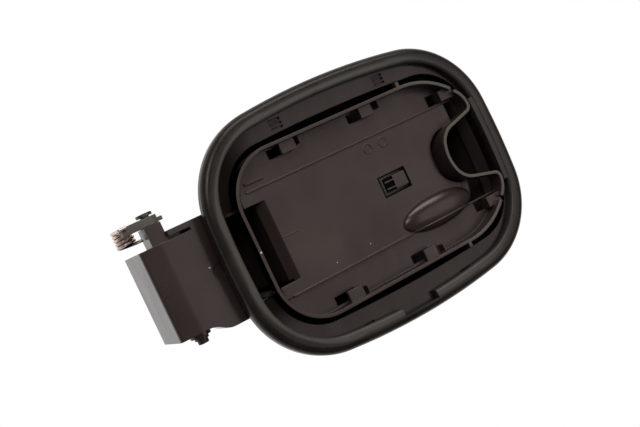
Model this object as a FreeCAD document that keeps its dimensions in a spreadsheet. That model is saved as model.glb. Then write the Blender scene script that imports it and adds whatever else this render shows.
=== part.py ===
"""Fuel filler housing: shell, rim seal, flap carrier on a pin, lever and spring. Millimetres."""
import math
import os
import re

import FreeCAD
import Part
import Sketcher
from FreeCAD import Rotation, Vector

SIZES = {
    # heights above the rear face, and plate thicknesses
    "rim_top": 66, "shelf_drop": 5, "flange_thick": 2.5, "wall": 2.4,
    # rim outline and seal
    "rim_half_x": 98.5, "rim_half_y": 75, "rim_bow_x": 400, "rim_bow_y": 420, "rim_corner": 50.8,
    "seal_width": 9.5, "lip_width": 3, "lip_drop": 3, "seat_gap": 0.3, "seal_round": 4.4,
    "seal_inner_round": 2, "land_half": 27, "land_drop": 0.5, "drain_left": -15.5, "drain_right": 9.3,
    "drain_keep": 5,
    # mouth of the bowl, inside the rim
    "mouth_margin_x": 14.6, "mouth_margin_y": 19.8, "mouth_x": 2.7,
    "mouth_half_x": "rim_half_x - mouth_margin_x", "mouth_half_y": "rim_half_y - mouth_margin_y",
    "mouth_left": "mouth_x - mouth_half_x", "mouth_right": "mouth_x + mouth_half_x", "mouth_bow_x": 400,
    "mouth_bow_y": 900, "mouth_corner": 29,
    # bowl
    "ledge_depth": 11.4, "ledge_step": 5.6, "ledge_top": "rim_top - ledge_depth",
    "ledge_low": "ledge_top - ledge_step", "bowl_draft": 9.5, "hub_high": 10, "hub_wall": 3,
    "hole_radius": 31, "neck_radius": 26, "spigot_radius": 5, "spigot_bore": 3, "spigot_long": 2.8,
    "spigot_root": 15.2, "grille_left": -40, "grille_right": 32, "grille_long": 7.4, "grille_wide": 1.3,
    "grille_pitch": 2.4, "grille_deep": 1.3, "grille_edge": 1, "leg_edge": 8.2, "leg_thick": 2,
    "barb_thick": 3.5, "leg_long": 12.5,
    # hinge axis, hinge chamber and rim slot
    "hinge_reach": 22.5, "hinge_depth": 10, "chamber_depth": 14, "chamber_reach": 13.3,
    "chamber_slant": 10.3, "hinge_x": "-rim_half_x - hinge_reach",
    "chamber_top": "rim_top - chamber_depth", "hinge_z": "chamber_top - hinge_depth",
    "chamber_left": "hinge_x - chamber_reach", "low_left": "chamber_left + chamber_slant",
    "chamber_half": 26, "end_wall_low": 15, "chamber_round": 2.2, "slope_run": 11.8, "slope_fall": 1.3,
    "slope_round": 25, "root_swell": 5, "root_half": "chamber_half + root_swell", "root_reach": 17.5,
    "root_left": "hinge_x + root_reach", "root_high": 14, "root_low": "chamber_top - root_high",
    "rib_reach": 5, "rib_left": "hinge_x + rib_reach", "rib_wall": 3.2, "rib_deep": 12, "slot_reach": 7.5,
    "slot_left": "mouth_left - slot_reach", "slot_half": "chamber_half", "chamber_root": 11.2,
    "inside_root": 23.2,
    # things on the hinge axis
    "pin_radius": 2.5, "pin_fit": 0.05, "tower_half": 4.8, "tower_rise": 7, "tower_long": 11,
    "tower_end": "chamber_half + tower_long", "boss_long": 2.2, "boss_end": "chamber_half + boss_long",
    "boss_radius": 6, "lever_gap": 0.2, "lever_thick": 4.7, "lever_start": "tower_end + lever_gap",
    "lever_end": "lever_start + lever_thick", "lever_reach": 16, "lever_half": 3.2, "lever_hub": 6,
    "nub_end": 8.4, "head_gap": 0.9, "head_thick": 1.6, "head_start": "lever_end + head_gap",
    "head_end": "head_start + head_thick", "head_radius": 4.6, "cap_thick": 1.7, "cap_long": 4.2,
    "cap_flange": "boss_end + cap_thick", "cap_end": "boss_end + cap_long", "cap_radius": 4.1,
    "cap_dome": 3.1, "cap_round": 0.5,
    # spring
    "wire_radius": 0.8, "coil_radius": 5, "coil_pitch": 1.85, "coil_turns": 4.5, "coil_reach": 13,
    "coil_drop": 8.4, "coil_x": "hinge_x - coil_reach", "coil_z": "hinge_z - coil_drop", "coil_away": 5.9,
    "coil_start": "chamber_half + coil_away",
    # flap carrier
    "dish_proud": 0.5, "dish_deep": 8.5, "dish_top": "rim_top + dish_proud",
    "floor_top": "dish_top - dish_deep", "dish_wall": 1.9, "dish_gap_y": 5.6, "dish_gap_left": 2.5,
    "dish_reach": 41.6, "dish_half": "mouth_half_y - dish_gap_y",
    "dish_left": "mouth_left + dish_gap_left", "dish_bend_x": "mouth_right - dish_reach",
    "dish_corner_left": 28.5, "dish_corner_right": 45, "dish_bend": 44, "floor_thick": 3, "band_drop": 1,
    "band_inset": 18.6, "band_y": "dish_half - band_inset", "rib_high": 0.8, "rib_wide": 0.9,
    "notch_back": 31.4, "notch_x": "mouth_right - notch_back", "notch_round": 24, "notch_bend": 20,
    "notch_side": 13.3, "notch_flare": 14.5, "notch_run": 15.4, "horn_round": 3.5, "horn_back": 14,
    "horn_turn": 52, "trench_deep": 8, "trench_low": "floor_top - trench_deep", "trench_wide": 4.2,
    "trench_shoulder": 3, "trench_run": 3, "trench_bound": 17.6, "hook_inset": 7.4, "hook_rise": 5,
    "hook_one": -40.9, "hook_one_long": 9.8, "hook_one_rib": 12.5, "hook_two": 14.3, "hook_two_long": 8.7,
    "hook_two_rib": 13.5, "hook_foot": 2.5, "hook_gap": 6.2, "rib_thick": 1.2, "tab_back": 2.8,
    "tab_wide": 2.2, "tab_gap": 1.8, "pocket_gap": 2.3, "pocket_half": "chamber_half - pocket_gap",
    "ramp": 5, "web_reach": 13.3, "web_left": "dish_left + web_reach", "arm_thick": 4.5, "arm_gap": 3.5,
    "arm_half": "chamber_half - arm_gap", "arm_low": 4.6, "arm_turn_right": 16, "arm_turn_left": 14,
    "barrel_radius": 6, "heel_rise": 4.5, "heel_run": 10, "blister_back": 17.7,
    "blister_x": "notch_x - blister_back", "blister_inset": 24.4,
    "blister_y": "blister_inset - dish_half", "blister_long": 25.7, "blister_wide": 9.7,
    "blister_high": 5.3, "blister_wall": 1.8, "blister_rib": 0.5, "latch_x": 10, "latch_long": 18.2,
    "latch_low": -4.8, "latch_high": 6.4, "latch_slit": 1.4, "latch_drop": 0.6, "mark_radius": 3,
    "mark_y": 25.1, "mark_one": 11.9, "mark_two": 22.7,
}

doc = FreeCAD.newDocument("fuel_filler_housing")
sheet = doc.addObject("Spreadsheet::Sheet", "Sizes")
for row, (alias, value) in enumerate(SIZES.items(), start=1):
    sheet.set("A%d" % row, alias)
    sheet.set("B%d" % row, str(value) if not isinstance(value, str) else "=" + value)
    sheet.setAlias("B%d" % row, alias)
doc.recompute()


def size(text):
    """Value in millimetres of a formula in the sheet's names, for outlines worked out point by point."""
    value = sheet.evalExpression(formula(text))
    return float(getattr(value, "Value", value))


def formula(text):
    """Formula in the sheet's names as an expression that FreeCAD can bind."""
    return re.sub(r"[a-z_]{3,}", lambda m: "Sizes." + m.group() if m.group() in SIZES else m.group(),
                  str(text))


def bind(thing, **formulas):
    for prop, text in formulas.items():
        thing.setExpression(prop.replace("__", "."), formula(text))
    return thing


def box(name, x, y, z):
    """Block between three pairs of formulas."""
    thing = doc.addObject("Part::Box", name)
    for prop, axis, (low, high) in (("Length", "x", x), ("Width", "y", y), ("Height", "z", z)):
        thing.setExpression(prop, formula("(%s) - (%s)" % (high, low)))
        thing.setExpression("Placement.Base." + axis, formula(low))
    return thing


def rod(name, radius, along, start, end, x="0", y="0", z="0"):
    """Round bar along one axis; the two other coordinates are formulas."""
    thing = doc.addObject("Part::Cylinder", name)
    turns = {"x": Rotation(Vector(0, 1, 0), 90), "y": Rotation(Vector(1, 0, 0), -90), "z": Rotation()}
    thing.Placement = FreeCAD.Placement(Vector(), turns[along])
    places = {"x": x, "y": y, "z": z}
    places[along] = start
    for axis, text in places.items():
        thing.setExpression("Placement.Base." + axis, formula(text))
    return bind(thing, Radius=radius, Height="(%s) - (%s)" % (end, start))


def fuse(name, *things):
    thing = doc.addObject("Part::MultiFuse", name)
    thing.Shapes = list(things)
    thing.Refine = True
    return thing


def cut(name, base, *tools):
    thing = doc.addObject("Part::Cut", name)
    thing.Base = base
    thing.Tool = tools[0] if len(tools) == 1 else fuse(name + "_tools", *tools)
    return thing


def common(name, one, two):
    thing = doc.addObject("Part::Common", name)
    thing.Base, thing.Tool = one, two
    return thing


def mirror(name, source):
    """Twin on the other side of the XZ plane."""
    thing = doc.addObject("Part::Mirroring", name)
    thing.Source = source
    thing.Normal = Vector(0, 1, 0)
    return thing


def sketch(name, plane, level, edges):
    """Sketch in a plane across Z ("top") or across Y ("side"), at a level given as a formula."""
    thing = doc.addObject("Sketcher::SketchObject", name)
    if plane == "side":
        thing.Placement = FreeCAD.Placement(Vector(), Rotation(Vector(1, 0, 0), 90))
        bind(thing, Placement__Base__y=level)
    else:
        bind(thing, Placement__Base__z=level)
    thing.addGeometry(edges, False)
    return thing


def extrude(name, profile, length, both=False):
    thing = doc.addObject("Part::Extrusion", name)
    thing.Base = profile
    thing.DirMode = "Normal"
    thing.Solid = True
    thing.Symmetric = both
    return bind(thing, LengthFwd=length)


def oval(name, level, mid_x, half_x, half_y, bow_x, bow_y, corner):
    """Oval of four bowed sides and four corner arcs, tangent all round, with its sizes bound."""
    hx, hy, bx, by, rc = (size(text) for text in (half_x, half_y, bow_x, bow_y, corner))
    span = math.hypot(bx - hx, by - hy)
    to_top, to_side = by - rc, bx - rc
    along = (to_top ** 2 - to_side ** 2 + span ** 2) / (2 * span)
    off = math.sqrt(to_top ** 2 - along ** 2)
    ux, uy = (hx - bx) / span, (by - hy) / span
    cx, cy = max(((along * ux - s * off * uy, hy - by + along * uy + s * off * ux) for s in (1, -1)), key=sum)
    top = math.atan2(cy - hy + by, cx)
    side = math.atan2(cy, cx - hx + bx)
    full = math.pi
    arcs = [
        (hx - bx, 0, bx, -side, side), (cx, cy, rc, side, top), (0, hy - by, by, top, full - top),
        (-cx, cy, rc, full - top, full - side), (bx - hx, 0, bx, full - side, full + side),
        (-cx, -cy, rc, full + side, full + top), (0, by - hy, by, full + top, 2 * full - top),
        (cx, -cy, rc, 2 * full - top, 2 * full - side)]
    edges = [Part.ArcOfCircle(Part.Circle(Vector(x, y, 0), Vector(0, 0, 1), r), a, b)
             for x, y, r, a, b in arcs]
    thing = sketch(name, "top", level, edges)
    bind(thing, Placement__Base__x=mid_x)
    for one in range(8):
        thing.addConstraint(Sketcher.Constraint("Tangent", one, 2, (one + 1) % 8, 1))
    for arc, axis in ((0, -1), (4, -1), (2, -2), (6, -2)):
        thing.addConstraint(Sketcher.Constraint("PointOnObject", arc, 3, axis))
    for one, other in ((0, 4), (2, 6), (1, 3), (1, 5), (1, 7)):
        thing.addConstraint(Sketcher.Constraint("Equal", one, other))
    driven = [("bow_side", "Radius", (0,), bow_x), ("bow_top", "Radius", (2,), bow_y),
              ("corner", "Radius", (1,), corner),
              ("right", "DistanceX", (0, 3, -1, 1), "(%s) - (%s)" % (bow_x, half_x)),
              ("left", "DistanceX", (-1, 1, 4, 3), "(%s) - (%s)" % (bow_x, half_x)),
              ("top", "DistanceY", (2, 3, -1, 1), "(%s) - (%s)" % (bow_y, half_y)),
              ("bottom", "DistanceY", (-1, 1, 6, 3), "(%s) - (%s)" % (bow_y, half_y))]
    for label, kind, ends, text in driven:
        number = thing.addConstraint(Sketcher.Constraint(kind, *ends, size(text)))
        thing.renameConstraint(number, label)
        thing.setExpression("Constraints." + label, formula(text))
    return thing


def rim_oval(name, level, inset):
    """Rim outline moved inwards all round by a formula."""
    names = ("rim_half_x", "rim_half_y", "rim_bow_x", "rim_bow_y", "rim_corner")
    return oval(name, level, "0", *("%s - (%s)" % (each, inset) for each in names))


def mouth_oval(name, level, inset):
    """Outline of the bowl's mouth moved inwards all round by a formula."""
    names = ("mouth_half_x", "mouth_half_y", "mouth_bow_x", "mouth_bow_y", "mouth_corner")
    return oval(name, level, "mouth_x", *("%s - (%s)" % (each, inset) for each in names))


def path(start, heading, moves, shift=0.0):
    """Edges of a smooth path, and its points: moves are ("line", length) or ("arc", radius, degrees)."""
    turn = math.radians(heading)
    x, y = start[0] - shift * math.sin(turn), start[1] + shift * math.cos(turn)
    edges, points = [], [Vector(x, y, 0)]
    for move in moves:
        if move[0] == "line":
            x, y = x + move[1] * math.cos(turn), y + move[1] * math.sin(turn)
            edges.append(Part.LineSegment(points[-1], Vector(x, y, 0)))
        else:
            sign = math.copysign(1, move[2])
            radius = move[1] - sign * shift
            cx, cy = x - sign * radius * math.sin(turn), y + sign * radius * math.cos(turn)
            begin = turn - sign * math.pi / 2
            turn += math.radians(move[2])
            end = turn - sign * math.pi / 2
            x, y = cx + radius * math.cos(end), cy + radius * math.sin(end)
            low, high = min(begin, end), max(begin, end)
            circle = Part.Circle(Vector(cx, cy, 0), Vector(0, 0, 1), radius)
            edges.append(Part.ArcOfCircle(circle, low, high))
        points.append(Vector(x, y, 0))
    return edges, points


def ribbon(start, heading, moves, right, left):
    """Closed outline between two shifts of one path, to the right and to the left of it."""
    near, near_points = path(start, heading, moves, -right)
    far, far_points = path(start, heading, moves, left)
    return near + far + [Part.LineSegment(near_points[-1], far_points[-1]),
                         Part.LineSegment(far_points[0], near_points[0])]


def polygon(points):
    corners = [Vector(size(x), size(y), 0) for x, y in points]
    return [Part.LineSegment(a, b) for a, b in zip(corners, corners[1:] + corners[:1])]


def loft(name, *sections):
    thing = doc.addObject("Part::Loft", name)
    thing.Sections = list(sections)
    thing.Solid = True
    thing.Ruled = True
    return thing


def rounded(name, base, choose, radius):
    """Fillet on the edges of a finished base for which choose(edge) is true."""
    doc.recompute()
    thing = doc.addObject("Part::Fillet", name)
    thing.Base = base
    amount = size(radius)
    thing.Edges = [(n, amount, amount) for n, edge in enumerate(base.Shape.Edges, start=1) if choose(edge)]
    return thing


def across_at(x, z):
    """Test for straight edges along Y at a place given by two formulas."""
    def test(edge):
        here = edge.BoundBox
        thin = here.XLength < 0.01 and here.ZLength < 0.01
        return thin and abs(here.XMin - size(x)) < 0.01 and abs(here.ZMin - size(z)) < 0.01
    return test


shelf = "rim_top - shelf_drop"
chamber_ceiling = "chamber_top - wall"

# housing shell: flange, stepped bowl, hinge chamber, bearing tower
flange = extrude("flange", rim_oval("flange_outline", shelf + " - flange_thick", "lip_width + seat_gap"),
                 "flange_thick")
bowl_levels = [("ledge_top", "0"), ("ledge_low", "ledge_step"), ("0", "bowl_draft")]
solids, hollows = [], []
solids.append(extrude("bowl_upper", mouth_oval("upper_outline", "ledge_top", "-wall"),
                      shelf + " - ledge_top"))
hollows.append(extrude("mouth_upper", mouth_oval("mouth_outline", "ledge_top", "0"),
                       shelf + " - ledge_top + 1"))
for number, (high, low) in enumerate(zip(bowl_levels, bowl_levels[1:])):
    solids.append(loft("bowl_%d" % number, mouth_oval("bowl_high_%d" % number, high[0], high[1] + " - wall"),
                       mouth_oval("bowl_low_%d" % number, low[0], low[1] + " - wall")))
    floor_level = low[0] if low[0] != "0" else "wall"
    hollows.append(loft("mouth_%d" % number, mouth_oval("mouth_high_%d" % number, high[0], high[1]),
                        mouth_oval("mouth_low_%d" % number, floor_level, low[1])))

chamber_right = "mouth_left + chamber_root"
chamber_side = polygon([
    (chamber_right, "0"), ("low_left", "0"), ("chamber_left", "end_wall_low"),
    ("chamber_left", "chamber_top - slope_fall"), ("chamber_left + slope_run", "chamber_top"),
    (chamber_right, "chamber_top")])
chamber_block = extrude("chamber_block", sketch("chamber_outline", "side", "0", chamber_side),
                        "2 * chamber_half",
                        both=True)
chamber_edge = rounded("chamber_edge", chamber_block, across_at("chamber_left", "chamber_top - slope_fall"),
                       "chamber_round")
chamber = rounded("chamber", chamber_edge, across_at("chamber_left + slope_run", "chamber_top"),
                  "slope_round")
inside_right = "mouth_left + inside_root"
chamber_inside = polygon([
    (inside_right, "wall"), ("low_left + wall / 2", "wall"),
    ("chamber_left + wall", "end_wall_low + wall / 2"),
    ("chamber_left + wall", chamber_ceiling), (inside_right, chamber_ceiling)])
chamber_hollow = extrude("chamber_hollow", sketch("chamber_inside", "side", "0", chamber_inside),
                         "2 * (chamber_half - wall)", both=True)

swell_rise = size("root_half - chamber_half")
swell_radius = swell_rise / (2 * (1 - math.cos(math.radians(38))))
swell = [("arc", swell_radius, -38), ("arc", swell_radius, 38)]
swell_start = (size("root_left") - 2 * swell_radius * math.sin(math.radians(38)), -size("chamber_half"))
swell_edges, swell_points = path(swell_start, 0, swell)
root_right = size("mouth_left") + 2.5 * size("wall")
root_corners = [swell_points[-1], Vector(root_right, -size("root_half"), 0),
                Vector(root_right, size("root_half"), 0),
                Vector(size("root_left"), size("root_half"), 0), Vector(size("root_left"), 0, 0),
                Vector(swell_start[0], 0, 0), swell_points[0]]
swell_edges += [Part.LineSegment(a, b) for a, b in zip(root_corners, root_corners[1:])]
root = extrude("root", sketch("root_outline", "top", "root_low", swell_edges), "chamber_top - root_low")
root_hollow = box("root_hollow", ("root_left + wall", inside_right), ("wall - root_half", "root_half - wall"),
                  ("root_low - 1", chamber_ceiling))
side_rib = box("side_rib", ("rib_left", "mouth_left - wall"), ("root_half - rib_wall", "root_half"),
               ("chamber_top - rib_deep", "chamber_top"))
slot_frame = box("slot_frame", ("slot_left - wall", "mouth_left + 2 * wall"),
                 ("-slot_half - wall", "slot_half + wall"), (chamber_ceiling, shelf))
slot = box("slot", ("slot_left", "mouth_left + 3 * wall"), ("-slot_half", "slot_half"),
           (chamber_ceiling + " - 1", "rim_top"))
tower = box("tower", ("hinge_x - tower_half", "hinge_x + tower_half"), ("chamber_half - 1", "tower_end"),
            ("hinge_z - tower_rise", "hinge_z + tower_rise"))
boss = rod("boss", "boss_radius", "y", "-boss_end", "1 - chamber_half", x="hinge_x", z="hinge_z")
hinge_hole = rod("hinge_hole", "pin_radius + pin_fit", "y", "-50", "50", x="hinge_x", z="hinge_z")

hub = rod("hub", "hole_radius + hub_wall", "z", "0", "hub_high")
neck_hole = rod("neck_hole", "hole_radius", "z", "-1", "hub_high + 1")
spigot = rod("spigot", "spigot_radius", "y", "-mouth_half_y - spigot_long", "spigot_root - mouth_half_y",
             x="mouth_x", z="wall + spigot_bore")
spigot_hole = rod("spigot_hole", "spigot_bore", "y", "-mouth_half_y - spigot_long - 1",
                  "spigot_root - mouth_half_y + 1", x="mouth_x", z="wall + spigot_bore")



def across(side, near, far):
    """Pair of formulas for a block on one side of the XZ plane."""
    return (near, far) if side > 0 else ("-(%s)" % far, "-(%s)" % near)


grille_cuts, snap_legs = [], []
for x in ("grille_left", "grille_right"):
    for side, lines in ((1, (0, 1, 2)), (-1, (3,))):
        for line in lines:
            near = "mouth_half_y + grille_edge + %d * grille_pitch" % line
            grille_cuts.append(box("grille", (x, x + " + grille_long"),
                                   across(side, near, near + " + grille_wide"),
                                   (shelf + " - grille_deep", shelf + " + 1")))
        near = "mouth_half_y + leg_edge + leg_thick" if side < 0 else "mouth_half_y + leg_edge"
        leg_low = shelf + " - flange_thick - leg_long"
        snap_legs.append(box("snap_leg", (x, x + " + grille_long"), across(side, near, near + " + leg_thick"),
                             (leg_low, shelf + " - flange_thick")))
        snap_legs.append(box("snap_barb", (x, x + " + grille_long"),
                             across(side, near, near + " + barb_thick"),
                             (leg_low, leg_low + " + barb_thick")))

shell_solid = fuse("shell_solid", flange, *solids, chamber, root, side_rib, slot_frame, tower, boss, spigot)
shell_open = cut("shell_open", shell_solid, *hollows, chamber_hollow, slot, hinge_hole, spigot_hole)
root_open = cut("root_open", root_hollow,
                box("root_keep", ("chamber_left", "0"), ("-chamber_half", "chamber_half"),
                                              ("0", "rim_top")), solids[1])
shell_more = fuse("shell_more", cut("shell_root", shell_open, root_open), hub, *snap_legs)
housing_shell = cut("housing_shell", shell_more, neck_hole, *grille_cuts)

# rim seal: raised ridge on the flange and a lip around its edge
rim_inside = rim_oval("ridge_inside", shelf, "seal_width")
ridge = cut("ridge", extrude("ridge_outer", rim_oval("ridge_outline", shelf, "0"), "shelf_drop"),
            extrude("ridge_inner", rim_inside, "shelf_drop"))
lip = cut("lip", extrude("lip_outer", rim_oval("lip_outline", shelf + " - lip_drop", "0"), "lip_drop"),
          extrude("lip_inner", rim_oval("lip_inside", shelf + " - lip_drop", "lip_width"), "lip_drop"))
seal_plain = fuse("seal_plain", ridge, lip)


def on_outline(level):
    def test(edge):
        box_of = edge.BoundBox
        middle = edge.valueAt((edge.FirstParameter + edge.LastParameter) / 2)
        flat = box_of.ZLength < 0.01 and abs(box_of.ZMin - size(level)) < 0.01
        far = abs(middle.x) / size("rim_half_x") > 0.945 or abs(middle.y) / size("rim_half_y") > 0.945
        corner = math.hypot(middle.x / size("rim_half_x"), middle.y / size("rim_half_y")) > 1.09
        return flat and (far or corner)
    return test


def inner_edge(edge):
    """Top edge of the ridge on its inner side, which lies further in than the rounded outer edge."""
    middle = edge.valueAt((edge.FirstParameter + edge.LastParameter) / 2)
    flat = edge.BoundBox.ZLength < 0.01 and abs(edge.BoundBox.ZMin - size("rim_top")) < 0.01
    near = rim_inside.Shape.distToShape(Part.Vertex(middle.x, middle.y, size(shelf)))[0]
    return flat and near < 0.05


seal_outside = rounded("seal_outside", seal_plain, on_outline("rim_top"), "seal_round")
seal_ridge = rounded("seal_ridge", seal_outside, inner_edge, "seal_inner_round")
drain = box("drain", ("drain_left", "drain_right"),
            ("drain_keep - rim_half_y", "2 * seal_width - rim_half_y"),
            (shelf + " - 1", "rim_top + 1"))
land_ring = cut("land_ring",
                extrude("land_outer", rim_oval("land_outline", shelf, "seal_width - seal_inner_round"),
                                     "shelf_drop - land_drop"),
                extrude("land_inner", mouth_oval("land_mouth", shelf, "0"), "shelf_drop"))
land = common("land", land_ring, box("land_part", ("notch_x", "rim_half_x"), ("-land_half", "land_half"),
                                     (shelf, "rim_top")))
rim_seal = fuse("rim_seal", cut("seal_drained", seal_ridge, drain), land)

# flap carrier: walled dish with a finger notch, a heel that clears the rim, and the arm to the hinge
half_wall = size("dish_wall / 2")
floor_low = "floor_top - floor_thick"
bend, flare = size("notch_bend"), size("notch_flare")
notch_half = [("arc", size("notch_round"), -bend), ("arc", size("notch_side"), bend + flare - 90)]
horn = [("line", size("notch_run")), ("arc", size("horn_round"), 90 - flare),
        ("arc", size("horn_back"), size("horn_turn"))]
whole_notch = list(reversed(horn)) + list(reversed(notch_half)) + notch_half + horn
notch_end = path((size("notch_x"), 0), 90, notch_half + horn)[1][-1]
notch_start = (notch_end.x, -notch_end.y)
notch_heading = 90 - size("horn_turn")
side_run = size("dish_bend_x - dish_left - dish_corner_left")
end_run = size("2 * (dish_half - dish_corner_left)")
dish_moves = [("arc", size("dish_corner_right"), size("dish_bend")), ("line", side_run),
              ("arc", size("dish_corner_left"), 90), ("line", end_run), ("arc", size("dish_corner_left"), 90),
              ("line", side_run), ("arc", size("dish_corner_right"), size("dish_bend"))]
bend_angle = math.radians(size("dish_bend"))
dish_start = (size("dish_bend_x") + size("dish_corner_right") * math.sin(bend_angle),
              size("dish_half") - size("dish_corner_right") * (1 - math.cos(bend_angle)))
dish_heading = 180 - size("dish_bend")

dish_edges, dish_points = path(dish_start, dish_heading, dish_moves)
notch_edges, notch_points = path(notch_start, notch_heading, whole_notch)
outline = dish_edges + notch_edges + [Part.LineSegment(dish_points[-1], notch_points[0]),
                                      Part.LineSegment(notch_points[-1], dish_points[0])]
floor = extrude("floor", sketch("floor_outline", "top", floor_low, outline), "floor_thick")
dish_wall = extrude("dish_side", sketch("dish_ribbon", "top", floor_low, ribbon(
    dish_start, dish_heading, dish_moves, half_wall, half_wall)), "dish_top - (%s)" % floor_low)
notch_wall = extrude("notch_side_wall", sketch("notch_ribbon", "top", floor_low + " + 0.5", ribbon(
    notch_start, notch_heading, whole_notch, half_wall, half_wall)), "dish_top - (%s) - 0.5" % floor_low)

trench_moves = notch_half + [("line", size("trench_run"))]
deep_moves = [("line", size("trench_run"))] + list(reversed(notch_half)) + trench_moves
deep_end = path((size("notch_x"), 0), 90, trench_moves)[1][-1]
deep_start = (deep_end.x, -deep_end.y)
deep_heading = 180 - flare
block_wide = size("trench_wide + trench_shoulder + 2.5")
trench_block = extrude("trench_block", sketch("trench_block_outline", "top", "trench_low - 2", ribbon(
    deep_start, deep_heading, deep_moves, 0, block_wide)), "floor_top - trench_low + 2")
deep_wall = extrude("deep_wall", sketch("deep_wall_outline", "top", "trench_low - 2", ribbon(
    deep_start, deep_heading, deep_moves, half_wall, half_wall)), "dish_top - trench_low + 2")
spine_edges, spine_points = path((size("notch_x"), 0), 90, trench_moves)
spine = sketch("trench_spine", "top", "trench_low", spine_edges)
shoulder_x = size("notch_x - trench_wide")
low_z, high_z, shoulder = size("trench_low"), size("floor_top"), size("trench_shoulder")
shoulder_circle = Part.Circle(Vector(shoulder_x - shoulder, high_z - shoulder, 0), Vector(0, 0, 1), shoulder)
trench_profile = [Part.ArcOfCircle(shoulder_circle, 0, math.pi / 2)]
corners = [(shoulder_x - shoulder, high_z), (shoulder_x - shoulder, high_z + 2),
           (size("notch_x"), high_z + 2),
           (size("notch_x"), low_z), (shoulder_x, low_z), (shoulder_x, high_z - shoulder)]
trench_profile += [Part.LineSegment(Vector(*a, 0), Vector(*b, 0)) for a, b in zip(corners, corners[1:])]
trench = doc.addObject("Part::Sweep", "trench")
trench.Sections = [sketch("trench_profile", "side", "0", trench_profile)]
trench.Spine = (spine, ["Edge%d" % n for n in range(1, len(spine_edges) + 1)])
trench.Solid = True
trench.Frenet = False
trench_bound = rod("trench_bound", "trench_bound", "z", "trench_low", "floor_top + 2",
                   x="notch_x - trench_wide - trench_shoulder + trench_bound")
trench_room = common("trench_room", trench, trench_bound)
trench_twin = mirror("trench_twin", trench_room)

bands, ribs, hooks, holes = [], [], [], []
under = floor_low + " - 1"
over = "floor_top + 1"
hook_top = "floor_top + hook_rise"
hook_near = "dish_half - hook_inset"
for side in (1, -1):
    bands.append(box("side_band", ("dish_left - dish_wall", "mouth_right"),
                     across(side, "band_y", "dish_half + dish_wall"), ("floor_top - band_drop", over)))
    rib_line = across(side, "band_y - rib_wide / 2", "band_y + rib_wide / 2")
    ribs.append(box("long_rib", ("dish_left + heel_run", "notch_x + horn_back + 0.8 * horn_back"), rib_line,
                    (floor_low, "floor_top + rib_high")))
    for hook in ("hook_one", "hook_two"):
        right = "%s + %s_long" % (hook, hook)
        rib = "%s + %s_rib" % (hook, hook)
        hooks.append(box("hook_block", (hook, right), across(side, hook_near, "dish_half"),
                         ("floor_top + hook_rise - floor_thick", hook_top)))
        hooks.append(box("hook_post", (right + " - hook_foot", right), across(side, hook_near, "dish_half"),
                         (floor_low, "floor_top + floor_thick")))
        hooks.append(box("hook_rib", (rib, rib + " + rib_thick"),
                         across(side, hook_near + " + dish_wall", "dish_half"), (floor_low, hook_top)))
        holes.append(box("hook_hole", (hook + " - hook_gap", right + " - hook_foot"),
                         across(side, hook_near + " + seat_gap", "dish_half - dish_wall"), (under, over)))
    hooks.append(box("corner_block", ("notch_x + horn_back", "notch_x + horn_back + 10"),
                     across(side, "band_y + 1", "band_y + hook_inset"), (floor_low, hook_top)))
    holes.append(box("corner_hole", ("notch_x + horn_back - hook_gap", "notch_x + horn_back"),
                     across(side, "band_y + 1", "band_y + hook_inset"), (under, over)))
    hooks.append(box("edge_tab", ("dish_bend_x - tab_back", "dish_bend_x - tab_back + tab_wide"),
                     across(side, "dish_half", "mouth_half_y - tab_gap"),
                     ("floor_top + hook_rise", "dish_top")))
    inner_x = "notch_x + horn_back + horn_round" if side > 0 else "notch_x + hook_rise"
    holes.append(box("horn_opening", (inner_x, "mouth_right"), across(side, "14", "band_y - rib_wide / 2"),
                     (under, over)))
    ribs.append(box("under_rib", ("web_left + floor_thick", "notch_x - notch_side"),
                    across(side, "pocket_half - 3 * floor_thick",
                           "pocket_half - 3 * floor_thick + dish_wall"),
                    (floor_low + " - 6", floor_low)))

latch_y = ("latch_low + latch_slit", "latch_high - latch_slit")
latch_right = "latch_x + latch_long"
latch_mid = "latch_x + latch_long / 2"
tongue_low = floor_low + " + latch_drop"
window = box("latch_window", ("latch_x", latch_right), ("latch_low", "latch_high"), (under, over))
tongue = [box("tongue", (latch_mid, latch_right + " + 1"), latch_y, (tongue_low, "floor_top - latch_drop")),
          box("tongue_tip", ("latch_x + 2 * latch_slit", latch_mid + " + 1"), latch_y,
              (tongue_low, "floor_top - 3 * latch_drop"))]
for near in ("2 * latch_slit", "5 * latch_slit"):
    tongue.append(box("tongue_bar", ("latch_x + 2 * latch_slit", latch_mid + " + 1"),
                      ("latch_low + " + near, "latch_low + %s + rib_wide" % near),
                      (tongue_low, "floor_top - latch_drop")))
marks = [cut("mould_ring",
             rod("mould_disc", "mark_radius", "z", "floor_top - 0.5", "floor_top + 0.3", x=x, y="mark_y"),
             rod("mould_core", "mark_radius - 0.6", "z", "floor_top - 1", "floor_top + 1", x=x, y="mark_y"))
         for x in ("mark_one", "mark_two")]
strip_y = "band_y + dish_wall + dish_wall"
marks.append(box("short_strip", ("web_left - dish_wall", "web_left + heel_run"),
                 (strip_y, strip_y + " + rib_thick"),
                 (floor_low, "floor_top")))
marks.append(box("mould_line", ("web_left + ramp", "web_left + ramp + heel_run"), ("0.4", "0.8"),
                 (floor_low, "floor_top + 0.25")))


def blister(name, shrink):
    thing = doc.addObject("Part::Ellipsoid", name)
    thing.Angle1, thing.Angle2, thing.Angle3 = -90, 90, 360
    bind(thing, Radius1="blister_high - (%s)" % shrink, Radius2="blister_long - (%s)" % shrink,
         Radius3="blister_wide - (%s)" % shrink)
    return bind(thing, Placement__Base__x="blister_x", Placement__Base__y="blister_y",
                Placement__Base__z="floor_top")


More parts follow.
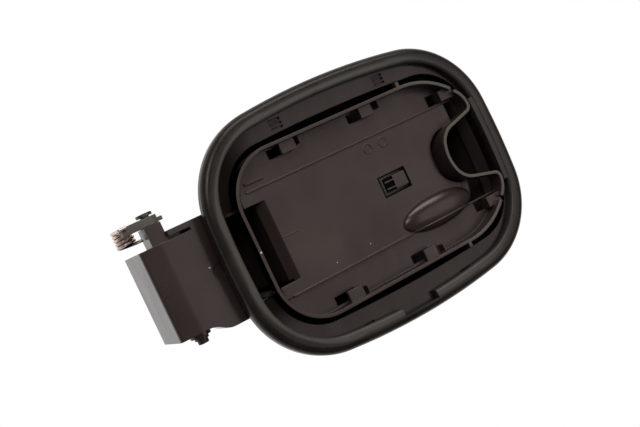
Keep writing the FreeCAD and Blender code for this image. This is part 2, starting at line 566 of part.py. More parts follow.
blister_x = ("blister_x - 2 * blister_long", "blister_x + 2 * blister_long")
blister_y = ("blister_y - 2 * blister_wide", "blister_y + 2 * blister_wide")
blister_shell = common("blister_shell", blister("blister_out", "0"), box(
    "blister_part", blister_x, blister_y, (floor_low, "floor_top + 2 * blister_high")))
blister_hollow = common("blister_hollow", blister("blister_in", "blister_wall"), box(
    "blister_room", blister_x, blister_y,
    (floor_low + " - 2 * blister_high", "floor_top + 2 * blister_high")))
ribs.append(common("blister_crest", blister("blister_over", "-blister_rib"), box(
    "blister_line", blister_x, across(-1, "band_y - rib_wide / 2", "band_y + rib_wide / 2"),
    ("floor_top", "floor_top + 2 * blister_high"))))

pocket = extrude("pocket", sketch("pocket_outline", "side", "0", polygon([
    ("dish_left + dish_wall / 2", floor_low + " - 1"), ("web_left", floor_low + " - 1"),
    ("web_left", "floor_top - ramp"), ("web_left + ramp + 1", "floor_top + 1"),
    ("dish_left + dish_wall / 2", "floor_top + 1")])), "2 * pocket_half", both=True)

thick = size("arm_thick")
arm_x, arm_z = size("web_left + arm_thick / 2"), size("arm_low + arm_thick / 2")
turn_right, turn_left = size("arm_turn_right"), size("arm_turn_left")
arm_top = size(floor_low + " + 1")
arm_moves = [("line", arm_top - arm_z - turn_right), ("arc", turn_right, -90),
             ("line", arm_x - size("hinge_x") - turn_right - turn_left), ("arc", turn_left, -90),
             ("line", size("hinge_z") - arm_z - turn_left)]
arm_outline = ribbon((arm_x, arm_top), -90, arm_moves, thick / 2, thick / 2)
arm = extrude("arm", sketch("arm_ribbon", "side", "0", arm_outline), "2 * arm_half", both=True)
barrel = rod("barrel", "barrel_radius", "y", "-arm_half", "arm_half", x="hinge_x", z="hinge_z")
pin_hole = rod("pin_hole", "pin_radius + pin_fit", "y", "-50", "50", x="hinge_x", z="hinge_z")

plate = cut("plate", fuse("plate_solid", floor, trench_block), *bands, *holes, window)
body = fuse("body", cut("plate_trench", plate, trench_room, trench_twin), arm, barrel, *ribs, blister_shell)
body_open = cut("body_open", body, pocket, blister_hollow, pin_hole)
heel = extrude("heel", sketch("heel_outline", "side", "0", polygon([
    ("dish_left - dish_wall", floor_low + " - 1"), ("dish_left + heel_run", floor_low + " - 1"),
    ("dish_left + heel_run", floor_low), ("dish_left + dish_wall", floor_low + " + heel_rise"),
    ("dish_left - dish_wall", floor_low + " + heel_rise")])), "2 * dish_half + 4", both=True)
carrier_solid = fuse("carrier_solid", body_open, dish_wall, notch_wall, deep_wall, *hooks, *tongue, *marks)
flap_carrier = cut("flap_carrier", carrier_solid, heel)

# hinge pin, crank lever and retaining cap on one axis
hinge_pin = fuse("hinge_pin",
                 rod("pin_bar", "pin_radius", "y", "0.8 - cap_end", "head_end", x="hinge_x", z="hinge_z"),
                 rod("pin_head", "head_radius", "y", "head_start", "head_end", x="hinge_x", z="hinge_z"))
lever_solid = fuse("lever_solid", rod("lever_eye", "lever_hub", "y", "lever_start", "lever_end",
                                      x="hinge_x", z="hinge_z"),
                   box("lever_bar", ("hinge_x - lever_reach", "hinge_x"), ("lever_start", "lever_end"),
                       ("hinge_z", "hinge_z + 2 * lever_half")),
                   box("lever_nub", ("hinge_x + 4", "hinge_x + nub_end"),
                       ("lever_start + 0.5", "lever_start + 2.7"),
                       ("hinge_z - 2", "hinge_z + 2")))
crank_lever = cut("crank_lever", lever_solid, rod("lever_hole", "pin_radius + pin_fit", "y", "30", "50",
                                                  x="hinge_x", z="hinge_z"))
cap_solid = fuse("cap_solid", rod("cap_flange_disc", "cap_radius", "y", "-cap_flange", "-boss_end",
                                  x="hinge_x", z="hinge_z"),
                 rod("cap_knob", "cap_dome", "y", "-cap_end", "-boss_end", x="hinge_x", z="hinge_z"))
cap_smooth = rounded("cap_smooth", cap_solid, lambda edge: edge.BoundBox.YLength < 0.01 and
                     abs(edge.BoundBox.YMin + size("cap_end")) < 0.01, "cap_round")
retaining_cap = cut("retaining_cap", cap_smooth,
                    rod("cap_hole", "pin_radius + pin_fit", "y", "0.6 - cap_end", "0",
                                                    x="hinge_x", z="hinge_z"))

# torsion spring: free coil, one leg up to the lever, one leg across to the tower
helix = doc.addObject("Part::Helix", "coil_line")
helix.Placement = FreeCAD.Placement(Vector(), Rotation(Vector(1, 0, 0), -90))
bind(helix, Pitch="coil_pitch", Height="coil_pitch * coil_turns", Radius="coil_radius",
     Placement__Base__x="coil_x", Placement__Base__y="coil_start", Placement__Base__z="coil_z")
ring = doc.addObject("Part::Circle", "wire_ring")
bind(ring, Radius="wire_radius", Placement__Base__x="coil_x + coil_radius", Placement__Base__y="coil_start",
     Placement__Base__z="coil_z")
coil = doc.addObject("Part::Sweep", "coil")
coil.Sections = [ring]
coil.Spine = (helix, ["Edge1"])
coil.Solid = True
coil.Frenet = True
coil_end = "coil_start + coil_pitch * coil_turns"
hook_z = "hinge_z + 2 * lever_half + wire_radius + seat_gap"
torsion_spring = fuse("torsion_spring", coil,
                      rod("low_leg", "wire_radius", "z", "coil_z", "hinge_z - 2",
                          x="coil_x + coil_radius", y="coil_start"),
                      rod("low_hook", "wire_radius", "x", "coil_x + coil_radius",
                          "hinge_x - tower_half - seat_gap",
                          y="coil_start", z="hinge_z - 2"),
                      rod("high_leg", "wire_radius", "z", "coil_z", hook_z,
                          x="coil_x - coil_radius", y=coil_end),
                      rod("high_hook", "wire_radius", "x", "coil_x - coil_radius",
                          "hinge_x - lever_reach + 3",
                          y=coil_end, z=hook_z))

# neck collar: rubber ring on the hub
collar_profile = polygon([("neck_radius", "0"), ("hole_radius - seat_gap", "0"),
                          ("hole_radius - seat_gap", "hub_high"),
                          ("hole_radius + hub_wall", "hub_high"), ("hole_radius + hub_wall", "hub_high + 2"),
                          ("neck_radius", "hub_high + 2")])
neck_collar = doc.addObject("Part::Revolution", "neck_collar")
neck_collar.Source = sketch("collar_profile", "side", "0", collar_profile)
neck_collar.Axis = Vector(0, 0, 1)
neck_collar.Angle = 360
neck_collar.Solid = True

doc.recompute()
NODES = [housing_shell, rim_seal, flap_carrier, hinge_pin, crank_lever, torsion_spring, retaining_cap,
         neck_collar]
for thing in doc.Objects:
    if "Invalid" in thing.State or "Error" in thing.State:
        raise RuntimeError("%s is %s" % (thing.Name, thing.State))
os.makedirs("parts", exist_ok=True)
for node in NODES:
    node.Label = node.Name
    if node.Shape.isNull() or not node.Shape.isValid():
        raise RuntimeError(node.Name + " has no valid shape")
    print(node.Label, "solids", len(node.Shape.Solids), "volume %.0f" % node.Shape.Volume)
    node.Shape.exportStep("parts/%s.step" % node.Label)
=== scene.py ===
# %% [markdown]
# # A fuel filler housing, dressed for its picture
# The object is the plastic bowl behind a car's fuel flap. An oval rim with a rubber seal faces the
# user, a flap carrier lies in it, and a hinge chamber sticks out at one side with a lever and a
# small copper-coloured spring. The shapes were built in CAD and packed as a frame, so this lesson
# starts by loading that frame. Every CAD node then has its place in metres, and the work left for
# Blender is light, camera, surface finish, the fine spring and one small web.

# %% Load the frame
import math

import bpy
from mathutils import Matrix, Vector


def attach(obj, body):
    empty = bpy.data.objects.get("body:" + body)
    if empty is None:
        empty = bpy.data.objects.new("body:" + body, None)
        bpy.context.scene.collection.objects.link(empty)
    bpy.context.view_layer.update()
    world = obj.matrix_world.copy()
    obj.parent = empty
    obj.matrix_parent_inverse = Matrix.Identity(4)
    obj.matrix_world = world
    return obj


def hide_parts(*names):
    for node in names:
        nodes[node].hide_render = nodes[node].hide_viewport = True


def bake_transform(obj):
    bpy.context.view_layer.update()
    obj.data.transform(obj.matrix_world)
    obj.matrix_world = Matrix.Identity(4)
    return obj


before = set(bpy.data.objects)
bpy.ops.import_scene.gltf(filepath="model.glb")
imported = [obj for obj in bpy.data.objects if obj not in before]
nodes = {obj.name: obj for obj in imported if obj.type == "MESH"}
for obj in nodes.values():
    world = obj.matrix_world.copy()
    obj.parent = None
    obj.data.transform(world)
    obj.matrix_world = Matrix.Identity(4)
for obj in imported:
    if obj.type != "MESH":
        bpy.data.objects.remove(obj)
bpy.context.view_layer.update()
print("CAD nodes:", sorted(nodes))

# %% [markdown]
# ## Camera
# The picture was taken from above and from the hinge side, with the object turned in the frame. The
# camera's place was worked out from outlines that have to be symmetric, such as the rim and the
# dish. A camera matrix takes its columns from the view: right, up, and the direction back towards
# the viewer.

# %% Camera at the picture's viewpoint
view_right = Vector((0.81282925, -0.42420565, 0.39919690))
view_up = Vector((0.39995399, 0.90467351, 0.14697839))
view_back = Vector((-0.42349193, 0.04019205, 0.90500784))
view_place = Vector((-0.2535, 0.0244, 0.5283))

camera_data = bpy.data.cameras.new("picture_camera")
camera_data.sensor_width = 36
camera_data.lens = 52.03
camera = bpy.data.objects.new("picture_camera", camera_data)
bpy.context.scene.collection.objects.link(camera)
turn = Matrix((view_right, view_up, view_back)).transposed()
camera.matrix_world = Matrix.Translation(view_place) @ turn.to_4x4()
bpy.context.scene.camera = camera
print("camera at", [round(v, 3) for v in camera.location], "lens", camera_data.lens)

# %% [markdown]
# ## Shader arithmetic
# A finish is easier to read as a formula than as a pile of nodes. This small class holds one output
# of a node. Adding, multiplying or subtracting two of them makes the Math node that does it, and
# node() makes any other kind: its settings come first, and then its sockets get values or links.
# A mask is a value from 0 to 1, and most masks here are rises: a pair of numbers says where the
# mask starts to grow and where it is full.

# %% A socket that can be used in formulas
class Wire:
    """One output socket of a material's node tree."""

    def __init__(self, socket):
        self.socket = socket
        self.tree = socket.id_data

    def node(self, kind, settings, sockets, output=0):
        """Output of a new node in the same tree."""
        made = self.tree.nodes.new(kind)
        for name, value in settings.items():
            setattr(made, name, value)
        for name, value in sockets.items():
            if isinstance(value, Wire):
                self.tree.links.new(value.socket, made.inputs[name])
            else:
                made.inputs[name].default_value = value
        return Wire(made.outputs[output])

    def math(self, operation, first, second):
        """Result of one Math node."""
        return self.node("ShaderNodeMath", {"operation": operation}, {0: first, 1: second})

    def __add__(self, other):
        return self.math("ADD", self, other)

    __radd__ = __add__

    def __mul__(self, other):
        return self.math("MULTIPLY", self, other)

    __rmul__ = __mul__

    def __sub__(self, other):
        return self.math("SUBTRACT", self, other)

    def __rsub__(self, other):
        return self.math("SUBTRACT", other, self)

    def rise(self, low, high):
        """0 below low, 1 above high, and a smooth step between them."""
        return self.node("ShaderNodeMapRange", {"interpolation_type": "SMOOTHSTEP"},
                         {"Value": self, "From Min": low, "From Max": high})

    def noise(self, scale, detail, roughness=0.5, stretch=(1, 1, 1)):
        """Cloudy value around 0.5 over this place; scale counts the clouds in a metre."""
        stretched = self.node("ShaderNodeMapping", {}, {"Vector": self, "Scale": stretch})
        return self.node("ShaderNodeTexNoise", {},
                         {"Vector": stretched, "Scale": scale, "Detail": detail,
                          "Roughness": roughness})

    def along(self, axis):
        """One coordinate of this place."""
        return self.node("ShaderNodeSeparateXYZ", {}, {"Vector": self}, output=axis)

    def gap(self, point):
        """Distance from this place to a point of the object."""
        return self.node("ShaderNodeVectorMath", {"operation": "DISTANCE"}, {0: self, 1: point},
                         output="Value")

    def near(self, point, reach, core=0.5):
        """1 around a point of the object, falling to 0 at that reach; core is the full part."""
        return 1 - self.gap(point).rise(reach * core, reach)

    def blend(self, dark, light):
        """Colour between two colours, by this value."""
        return self.node("ShaderNodeMix", {"data_type": "RGBA"},
                         {"Factor": self, "A": dark, "B": light}, output="Result")


def new_finish(name):
    """An empty material, its shader node, and the place on the object as a Wire."""
    material = bpy.data.materials.new(name)
    material.use_nodes = True
    shader = material.node_tree.nodes["Principled BSDF"]
    coordinates = material.node_tree.nodes.new("ShaderNodeTexCoord")
    return material, shader, Wire(coordinates.outputs["Object"])


def feed(shader, **wires):
    """Links wires to the shader's sockets, with _ for a space in their names."""
    for name, wire in wires.items():
        wire.tree.links.new(wire.socket, shader.inputs[name.replace("_", " ")])


def surface_normal(place):
    """The true normal, before any rounding or bump."""
    return place.node("ShaderNodeNewGeometry", {}, {}, output="Normal")


def rough_skin(place, edge, strength, depth, height):
    """Normal with edges rounded to a radius and a height map on top."""
    rounded = place.node("ShaderNodeBevel", {"samples": 4}, {"Radius": edge})
    bumped = place.node("ShaderNodeBump", {}, {"Strength": strength, "Distance": depth,
                                               "Height": height, "Normal": rounded})
    return rounded, bumped


print("shader helpers are ready")

# %% [markdown]
# ## Moulded plastic
# Injection-moulded plastic is dark all through, with a fine eroded grain from the mould. It is
# never one flat colour: the grain scatters light, broad clouds show where the melt flowed, and
# handled edges are polished a little lighter. Real mouldings have no knife edges, so a Bevel node
# rounds the normals along every edge, and the difference between that normal and the true one is a
# ready-made mask for edge wear. Dust specks lie where the picture shows them, and a dent is a
# shallow round bump.

# %% A finish for moulded plastic
warm_shine = (1, 0.82, 0.79, 1)
dust_colour = (0.62, 0.6, 0.56, 1)
coat_roughness = 0.22
grain_strength = 0.35
grain_depth = 0.00004
dent_in_grains = 30
dent_core = 0.6


def moulded_plastic(name, dark, light, polished, roughness, edge=0.0007, coat=0, dust=(), dents=(),
                    marks=None):
    """Dark plastic with grain and polished edges; marks adds what one piece has alone."""
    material, shader, place = new_finish(name)
    shader.inputs["Specular Tint"].default_value = warm_shine
    shader.inputs["Coat Weight"].default_value = coat
    shader.inputs["Coat Roughness"].default_value = coat_roughness
    clouds = place.noise(22, detail=3)
    grain = place.noise(1500, detail=2)
    rubbed = place.noise(90, detail=4, stretch=(1, 0.35, 1))
    height = grain
    for point, reach in dents:
        height = height - dent_in_grains * place.near(point, reach, dent_core)
    rounded, bumped = rough_skin(place, edge, grain_strength, grain_depth, height)

    normal = surface_normal(place)
    facing = place.node("ShaderNodeVectorMath", {"operation": "DOT_PRODUCT"},
                        {0: rounded, 1: normal}, output="Value")
    edges = (1 - facing).rise(0.03, 0.28) * (0.55 + rubbed * 0.6)
    shade = clouds * 0.85 + grain * 0.15
    colour = edges.blend(shade.rise(0.25, 0.75).blend(dark, light), polished)
    rough = roughness + (rubbed - 0.5) * 0.22 + (grain - 0.5) * 0.08
    if marks:
        colour, rough = marks(shader, place, normal, colour, rough)
    for point, reach in dust:
        speck = place.near(point, reach)
        colour = speck.blend(colour, dust_colour)
        rough = rough + speck * 0.4
    feed(shader, Base_Color=colour, Roughness=rough, Normal=bumped)
    print("finish", name, "with", len(material.node_tree.nodes), "nodes")
    return material


lever_plastic = moulded_plastic("lever_plastic", (0.06, 0.055, 0.045, 1), (0.14, 0.13, 0.11, 1),
                                (0.22, 0.21, 0.18, 1), 0.45)
cap_plastic = moulded_plastic("cap_plastic", (0.012, 0.01, 0.009, 1), (0.035, 0.03, 0.027, 1),
                              (0.06, 0.055, 0.05, 1), 0.35)

# %% [markdown]
# ## Marks of the shell
# The hinge chamber shines, and the flange inside the seal is matt, with painted shade that is
# darkest beside the hinge. A metallic surface with a nearly black colour gives back almost no light,
# so Metallic serves as the mask for the darkest painted shade.

# %% Shell with a matt flange in painted shade
shell_coat = 0.35
flange_shade_black = (0.008, 0.006, 0.005, 1)
flange_rise = (0.045, 0.05)
flange_start_x = (-0.0975, -0.093)
darkest_end_x = (-0.075, -0.045)
darkest_low_y = (-0.05, -0.03)


def matt_shaded_flange(shader, place, normal, colour, rough):
    """Takes the coat off the flange and paints shade on it, darkest on the hinge side."""
    across = place.along("X")
    # Coat off the flange, and painted shade on it that is darkest at the hinge side.
    matt_and_shade = place.along("Z").rise(*flange_rise) * across.rise(*flange_start_x)
    darkest = matt_and_shade * (1 - across.rise(*darkest_end_x)) * place.along("Y").rise(*darkest_low_y)
    feed(shader, Coat_Weight=shell_coat - matt_and_shade * shell_coat, Metallic=darkest)
    return matt_and_shade.blend(colour, flange_shade_black), rough


shell_plastic = moulded_plastic(
    "shell_plastic", (0.023, 0.0155, 0.0135, 1), (0.044, 0.031, 0.027, 1),
    (0.075, 0.062, 0.055, 1), 0.3, coat=shell_coat, marks=matt_shaded_flange,
    dust=[((-0.1034, 0.0033, 0.052), 0.0007), ((-0.0844, -0.0373, 0.061), 0.0005),
          ((-0.0758, -0.0513, 0.061), 0.0004)],
    dents=[((-0.0985, -0.0005, 0.052), 0.0048)])

# %% [markdown]
# ## Marks of the flap carrier
# A painted highlight lightens the top of the dish wall, most near the notch, and the polished
# edges are lighter as wear and as a painted highlight. The blister is smoother than the floor.
# Painted shade darkens the latch pocket, a thin frame round it and the side of the wall that faces
# the hinge. The bars in the pocket that lie just under the floor stay unshaded on top.

# %% Carrier with painted highlight and painted shade
carrier_polish_and_highlight = (0.1, 0.088, 0.076, 1)
painted_shade_black = (0.004, 0.0035, 0.003, 1)
floor_top = 0.058
crest_rise = (0.0657, 0.0664)
highlight_start_x = (0.03, 0.06)
faint_crest_highlight = 0.05
blister_middle, blister_reach = (0.038, -0.025, 0.06), 0.04
blister_rise = (0.0585, 0.0595)
blister_smooth = 0.14
hinge_wall_facing = (0.3, 0.7)
hinge_wall_end_x = (-0.072, -0.06)
hinge_wall_rise = (0.054, 0.057)
pocket_middle, pocket_half = (0.0191, 0.0008), (0.0091, 0.0056)
pocket_edge = (-0.0002, 0)
pocket_dip = (0.0001, 0.0003)
frame_edge = (0.0006, 0.0011)
frame_bottom = (0.004, 0.005)
bar_facing = (0.5, 0.9)
bar_depth = (0.0007, 0.0009)


def carrier_light_and_shade(shader, place, normal, colour, rough):
    """Paints a highlight on the wall's crest, smooths the blister and paints shade in the pocket and
    on the wall.
    """
    across, level = place.along("X"), place.along("Z")
    crest_highlight = faint_crest_highlight + across.rise(*highlight_start_x) * (1 - faint_crest_highlight)
    # Painted highlight along the wall's crest, strongest near the notch.
    colour = (level.rise(*crest_rise) * crest_highlight).blend(colour, carrier_polish_and_highlight)
    blister = place.near(blister_middle, blister_reach) * level.rise(*blister_rise)
    rough = rough - blister * blister_smooth

    # Painted shade on the side of the wall that faces the hinge.
    hinge_wall_shade = ((0 - normal.along("X")).rise(*hinge_wall_facing)
                  * (1 - across.rise(*hinge_wall_end_x)) * level.rise(*hinge_wall_rise))
    # Painted shade in the latch pocket and a thin frame round it; the bars' tops stay unshaded.
    depth = floor_top - level
    past = [place.math("ABSOLUTE", place.along(axis) - middle, 0) - half
            for axis, middle, half in zip("XY", pocket_middle, pocket_half)]
    outside = place.math("MAXIMUM", *past)
    beyond = outside.rise(*pocket_edge)
    pocket_frame_shade = (beyond * (1 - outside.rise(*frame_edge)) * (1 - depth.rise(*frame_bottom)))
    unshaded_bars = normal.along("Z").rise(*bar_facing) * (1 - depth.rise(*bar_depth))
    painted_shade = hinge_wall_shade + pocket_frame_shade + (1 - beyond) * depth.rise(*pocket_dip) * (1 - unshaded_bars)
    feed(shader, Metallic=painted_shade)
    return painted_shade.blend(colour, painted_shade_black), rough


# Its polished colour lightens the edges as wear and as a painted highlight.
carrier_plastic = moulded_plastic(
    "carrier_plastic", (0.026, 0.0175, 0.0155, 1), (0.048, 0.034, 0.03, 1),
    carrier_polish_and_highlight, 0.36, edge=0.0009, marks=carrier_light_and_shade,
    dust=[((-0.0785, -0.001, 0.0664), 0.0008), ((-0.0366, -0.0255, 0.058), 0.0004),
          ((-0.0126, -0.0248, 0.058), 0.0004), ((-0.0188, -0.0476, 0.0665), 0.0007)])

# %% [markdown]
# ## Rubber seal and collar
# The seal is soft rubber with a matt skin. Its colour is more neutral than the plastic's, and a
# faint bloom lies on it in patches. The bump is larger and softer than mould grain. Along the
# seal's bead a painted highlight lightens the skin, and painted shade darkens the outer slope. Both
# follow the rim's outline, so the finish works out how far a place lies in from that outline.

# %% A finish for rubber
rubber_shine = (1, 0.93, 0.88, 1)
rubber_specular = 0.26
skin_edge = 0.0006
skin_strength = 0.3
skin_depth = 0.00005


def soft_rubber(name, dark, light, roughness, marks=None):
    """Rubber with patches of bloom; marks adds what one piece has alone."""
    material, shader, place = new_finish(name)
    shader.inputs["Specular Tint"].default_value = rubber_shine
    shader.inputs["Specular IOR Level"].default_value = rubber_specular
    bloom = place.noise(35, detail=4, roughness=0.6)
    skin = place.noise(900, detail=3)
    colour = (bloom * 0.7 + skin * 0.3).rise(0.3, 0.75).blend(dark, light)
    if marks:
        colour = marks(shader, place, bloom, colour)
    rough = roughness + (bloom - 0.5) * 0.25
    bumped = rough_skin(place, skin_edge, skin_strength, skin_depth, skin)[1]
    feed(shader, Base_Color=colour, Roughness=rough, Normal=bumped)
    print("finish", name, "with", len(material.node_tree.nodes), "nodes")
    return material


collar_rubber = soft_rubber("collar_rubber", (0.012, 0.011, 0.011, 1), (0.03, 0.028, 0.027, 1), 0.55)

# %% Seal with a painted highlight on the bead
rim_half_x, rim_bow_x = 0.0985, 0.4
rim_half_y, rim_bow_y = 0.075, 0.42
rim_corner = 0.0508
corner_lean = 0.3
bead_highlight_colour = (0.085, 0.077, 0.068, 1)
bead_inset = (0.0048, 0.0066)
bead_rise = (0.063, 0.0655)
bead_fade_x = (0.02, 0.09)
slope_inset = (0.003, 0.0055)
slope_shade = 0.35


def rim_inset(place):
    """Distance in from the rim's outline, which is four shallow arcs with rounded corners."""
    flat = place.node("ShaderNodeVectorMath", {"operation": "MULTIPLY"}, {0: place, 1: (1, 1, 0)})
    past = []
    for half, bow, (x, y) in ((rim_half_x, rim_bow_x, (1, 0)), (rim_half_y, rim_bow_y, (0, 1))):
        centre = half - bow
        side = flat.math("MAXIMUM", flat.gap((centre * x, centre * y, 0)),
                         flat.gap((-centre * x, -centre * y, 0)))
        past.append(flat.math("MAXIMUM", side - (bow - rim_corner), 0))
    squares = past[0] * past[0] + past[1] * past[1] - past[0] * past[1] * corner_lean
    return rim_corner - flat.math("SQRT", squares, 0)


def highlit_bead(shader, place, bloom, colour):
    """Paints a highlight on the bead, less on the notch side, and paints shade on the outer slope.
    """
    # Painted highlight on the bead and painted shade on the outer slope.
    inset = rim_inset(place)
    bead = inset.rise(*bead_inset) * place.along("Z").rise(*bead_rise)
    bead_highlight = bead * (0.6 + bloom * 0.7) * (1 - place.along("X").rise(*bead_fade_x) * 0.7)
    feed(shader, Metallic=slope_shade - inset.rise(*slope_inset) * slope_shade)
    return bead_highlight.blend(colour, bead_highlight_colour)


seal_rubber = soft_rubber("seal_rubber", (0.017, 0.0141, 0.0119, 1), (0.037, 0.0312, 0.0267, 1), 0.3,
                          marks=highlit_bead)

# %% [markdown]
# ## Metal of the pin and the spring
# The pin is steel with a dark plating. The spring is drawn wire with a copper-coloured coat, so it
# is metallic, with duller patches where the coat has tarnished and painted shade on the inside of
# the coil. A normal that points towards the coil's axis marks the inside.

# %% Metal finishes
coil_middle = Vector((-0.134, 0.0319, 0.0336))
coil_shade_colour = (0.03, 0.022, 0.018, 1)
coil_shade_end = (-0.003, 0.0)


def drawn_metal(name, dark, light, roughness, coil=None):
    """Metal with tarnished patches; coil is the middle of a coil with painted shade inside."""
    material, shader, place = new_finish(name)
    shader.inputs["Metallic"].default_value = 1
    tarnish = place.noise(120, detail=2)
    colour = tarnish.rise(0.2, 0.75).blend(dark, light)
    rough = roughness + (0.5 - tarnish) * 0.2
    if coil:
        # Painted shade on the inside of the coil.
        normal = surface_normal(place)
        outward = ((place.along("X") - coil.x) * normal.along("X")
                   + (place.along("Z") - coil.z) * normal.along("Z"))
        colour = outward.rise(*coil_shade_end).blend(coil_shade_colour, colour)
    feed(shader, Base_Color=colour, Roughness=rough)
    print("finish", name, "with", len(material.node_tree.nodes), "nodes")
    return material


pin_steel = drawn_metal("pin_steel", (0.05, 0.045, 0.042, 1), (0.14, 0.13, 0.12, 1), 0.42)
spring_wire = drawn_metal("spring_wire", (0.52, 0.4, 0.345, 1), (0.8, 0.655, 0.585, 1), 0.42,
                          coil=coil_middle)

# %% [markdown]
# ## Finishes on the CAD nodes
# A node whose shape is right keeps its mesh and only changes its material slot.

# %% Give each node its finish
finishes = {"housing_shell": shell_plastic, "rim_seal": seal_rubber,
            "flap_carrier": carrier_plastic, "hinge_pin": pin_steel,
            "crank_lever": lever_plastic, "retaining_cap": cap_plastic,
            "neck_collar": collar_rubber, "torsion_spring": spring_wire}
for name, finish in finishes.items():
    nodes[name].data.materials.clear()
    nodes[name].data.materials.append(finish)
    print(name, "wears", finish.name)

# %% [markdown]
# ## The torsion spring
# A real torsion spring is one wire: a coil with two legs. One leg hooks behind the tower on the
# housing and the other over the lever's arm, so the spring pulls the lever past its middle and holds
# the flap open or shut. A curve with a round bevel is the natural way to make wire. It is drawn as a
# path, its points are put on the coil, and it is made a mesh. It belongs to the housing.

# %% Wire route of the spring
wire_radius = 0.0009
coil_radius = 0.0049
coil_turns = 4.5
coil_pitch = 0.0021
steps_in_turn = 20
tower_hook_x, low_leg_x, lever_hook_x, high_leg_x = -0.1265, -0.129, -0.1342, -0.1389
low_leg_start, low_leg_end = 0.04, 0.0365
high_leg_start, high_leg_end = 0.0385, 0.0495
low_bend, high_bend = 0.0007, 0.0008

coil_points = []
for step in range(int(coil_turns * steps_in_turn) + 1):
    turns = step / steps_in_turn
    angle = 2 * math.pi * turns
    coil_points.append(coil_middle + Vector((coil_radius * math.cos(angle), coil_pitch * turns,
                                             -coil_radius * math.sin(angle))))
coil_start_y, coil_end_y = coil_middle.y, coil_points[-1].y
low_leg = [Vector((x, coil_start_y, z)) for x, z in (
    (tower_hook_x, low_leg_start), (low_leg_x + low_bend, low_leg_start),
    (low_leg_x, low_leg_start - low_bend), (low_leg_x, low_leg_end))]
high_leg = [Vector((x, coil_end_y, z)) for x, z in (
    (high_leg_x, high_leg_start), (high_leg_x, high_leg_end - high_bend),
    (high_leg_x + high_bend, high_leg_end), (lever_hook_x, high_leg_end))]
route = low_leg + coil_points + high_leg
print("spring route has", len(route), "points")

# %% Spring as one wire
bpy.ops.object.select_all(action="DESELECT")
bpy.ops.curve.primitive_nurbs_path_add(radius=0.01)
spring = bpy.context.object
spring.name = "spring_coil"
wire = spring.data
wire.splines.clear()
line = wire.splines.new("NURBS")
line.points.add(len(route) - 1)
for point, place in zip(line.points, route):
    point.co = (*place, 1)
line.order_u = 3
line.use_endpoint_u = True
line.resolution_u = 3
wire.dimensions = "3D"
wire.bevel_depth = wire_radius
wire.bevel_resolution = 3
wire.use_fill_caps = True
bpy.ops.object.convert(target="MESH")
spring = bpy.context.object
bpy.ops.object.shade_smooth_by_angle(angle=math.radians(40))
spring.data.materials.clear()
spring.data.materials.append(spring_wire)
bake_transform(spring)
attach(spring, "housing")
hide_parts("torsion_spring")
print("spring has", len(spring.data.polygons), "faces")

# %% [markdown]
# ## Web beside the chamber
# Between the chamber and its side rib runs a narrow gap. A web low in the gap joins the two walls,
# so the gap looks grey and not like a window to the floor.

# %% Web in the narrow gap
web_low = Vector((-0.1155, 0.0258, 0.0405))
web_high = Vector((-0.1025, 0.0282, 0.042))
bpy.ops.object.select_all(action="DESELECT")
bpy.ops.mesh.primitive_cube_add(size=1, location=(web_low + web_high) / 2)
web = bpy.context.object
web.name = "rib_web"
web.scale = web_high - web_low
bpy.ops.object.transform_apply(location=True, rotation=True, scale=True)
web.data.materials.append(shell_plastic)
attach(web, "housing")
print("web is", [round(1000 * side, 1) for side in web.dimensions], "mm")

# %% [markdown]
# ## Floor and light
# The object lies on its back on a white floor. To the camera and to reflections the floor is plain
# white, and for every other ray it is a pale surface, so it still lights the object from below.
# Under the bowl a painted shadow makes it dark for every ray, so the neck's hole looks dark too.
# Three wide soft lamps and an even sky light the rest, at a level at which a colour renders about as
# it is written. The sky itself is white to the camera.

# %% White floor
floor_width = 6
floor_drop = 0.0005
floor_pale = (0.8, 0.8, 0.8, 1)
floor_shaded = (0.02, 0.02, 0.02, 1)
floor_roughness = 0.9
bowl_shade = (0.035, 0.045)
pure_white = {"Color": (1, 1, 1, 1), "Strength": 1.0}

bpy.ops.object.select_all(action="DESELECT")
bpy.ops.mesh.primitive_plane_add(size=floor_width, location=(0, 0, -floor_drop))
floor = bpy.context.object
floor.name = "floor"
floor_finish, floor_shader, floor_place = new_finish("floor_white")
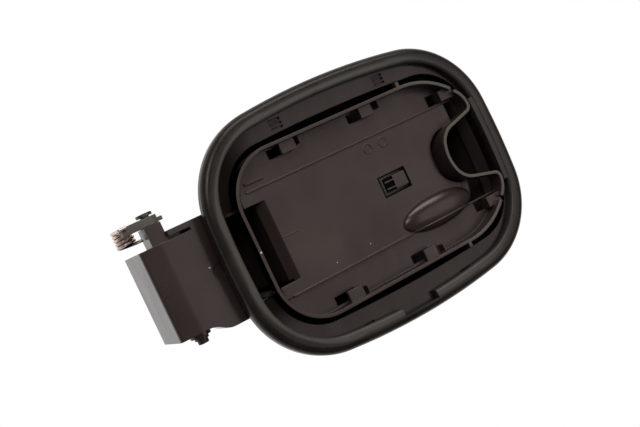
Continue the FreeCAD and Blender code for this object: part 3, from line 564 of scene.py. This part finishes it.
# Painted shadow on the floor under the bowl.
beside = floor_place.gap((0, 0, 0)).rise(*bowl_shade)
feed(floor_shader, Base_Color=beside.blend(floor_shaded, floor_pale))
floor_shader.inputs["Roughness"].default_value = floor_roughness
rays = floor_finish.node_tree.nodes.new("ShaderNodeLightPath")
seen = Wire(rays.outputs["Is Camera Ray"])
mirrored = Wire(rays.outputs["Is Glossy Ray"])
through = Wire(rays.outputs["Is Transmission Ray"])
white = seen.node("ShaderNodeEmission", {}, pure_white)
shows = (seen + mirrored + through).rise(0, 1) * beside
mixed = seen.node("ShaderNodeMixShader", {},
                  {0: shows, 1: Wire(floor_shader.outputs[0]), 2: white})
output = floor_finish.node_tree.nodes["Material Output"]
floor_finish.node_tree.links.new(mixed.socket, output.inputs["Surface"])
floor.data.materials.append(floor_finish)
print("floor is", floor.dimensions.x, "m wide")

# %% Soft lamps
def soft_lamp(name, place, wide, power):
    """A rectangular lamp that points at the object."""
    lamp_data = bpy.data.lights.new(name, "AREA")
    lamp_data.shape = "RECTANGLE"
    lamp_data.size, lamp_data.size_y = wide
    lamp_data.energy = power
    lamp = bpy.data.objects.new(name, lamp_data)
    bpy.context.scene.collection.objects.link(lamp)
    lamp.location = place
    lamp.rotation_euler = (-Vector(place)).to_track_quat("-Z", "Y").to_euler()
    print(name, "gives", power, "W")


soft_lamp("left_lamp", (-0.45, 0.6, 1.05), (0.5, 0.5), 3.8)
soft_lamp("top_lamp", (0.35, 1.0, 0.8), (1.0, 0.5), 7)
soft_lamp("over_lamp", (0.6, -0.05, 1.1), (0.8, 0.8), 1.9)

# %% Even sky
sky_colour = (1, 0.985, 0.96, 1)
sky_strength = 0.14

world = bpy.data.worlds.new("even_sky")
bpy.context.scene.world = world
world.use_nodes = True
sky = world.node_tree.nodes["Background"]
sky.inputs["Color"].default_value = sky_colour
sky.inputs["Strength"].default_value = sky_strength
straight = Wire(world.node_tree.nodes.new("ShaderNodeLightPath").outputs["Is Camera Ray"])
backdrop = straight.node("ShaderNodeBackground", {}, pure_white)
mixed_sky = straight.node("ShaderNodeMixShader", {},
                          {0: straight, 1: Wire(sky.outputs[0]), 2: backdrop})
world_output = world.node_tree.nodes["World Output"]
world.node_tree.links.new(mixed_sky.socket, world_output.inputs["Surface"])
bpy.context.scene.view_settings.view_transform = "Standard"
print("sky strength", sky_strength)
